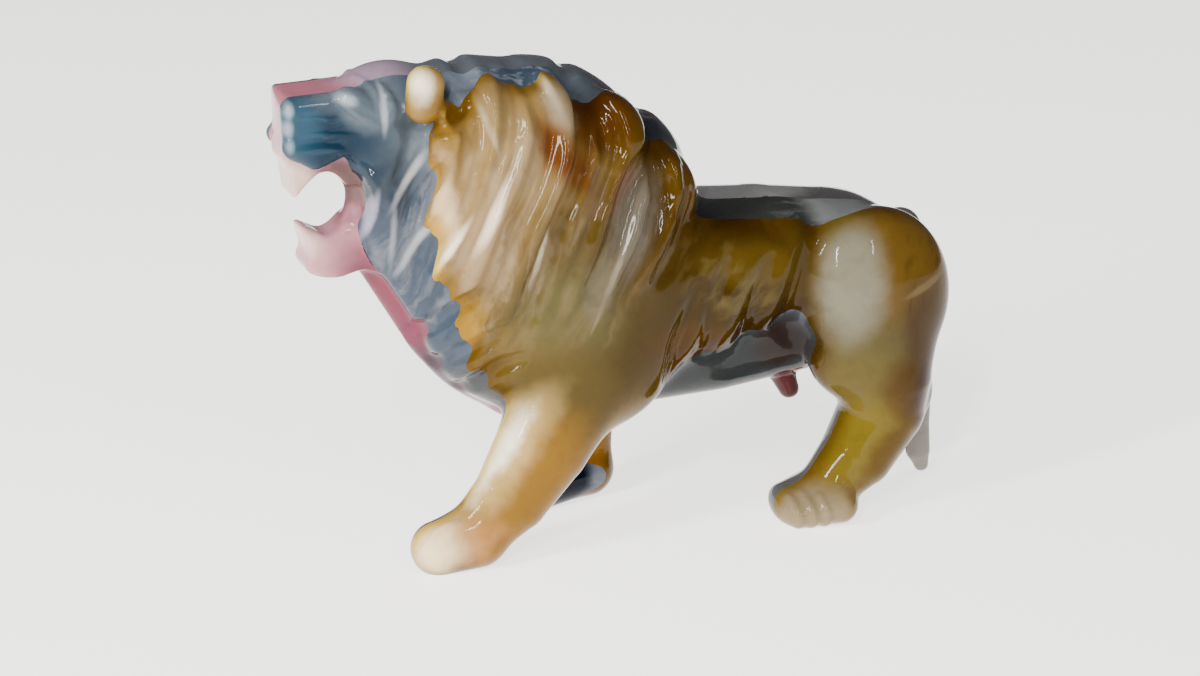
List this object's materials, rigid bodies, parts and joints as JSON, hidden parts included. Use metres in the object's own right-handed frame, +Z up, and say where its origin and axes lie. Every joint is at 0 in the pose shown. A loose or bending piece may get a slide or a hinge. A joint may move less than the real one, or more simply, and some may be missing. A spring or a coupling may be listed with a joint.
{
  "type": "onyx lion figurine",
  "caption": "Small standing lion with an open mouth and a full mane, carved from a block of glued onyx slabs and polished all over; it stands on four flat paws.",
  "frame": {"origin": "centre of the bounding box's base, on the surface that the paws stand on", "axes": "+Z up, +X towards the tail, the head looks towards -X, the lion's left flank faces -Y"},
  "size_m": [0.1553, 0.0511, 0.1102],
  "materials": {
    "honey_onyx": "polished, glossy",
    "blue_grey_onyx": "polished, glossy",
    "pink_onyx": "polished, glossy"
  },
  "bodies": {
    "root": {"honey_onyx_left": "honey_onyx", "blue_grey_onyx_left": "blue_grey_onyx", "pink_onyx_centre": "pink_onyx", "blue_grey_onyx_right": "blue_grey_onyx", "blue_grey_onyx_forepaw": "blue_grey_onyx", "honey_onyx_right": "honey_onyx"}
  },
  "joints": []
}
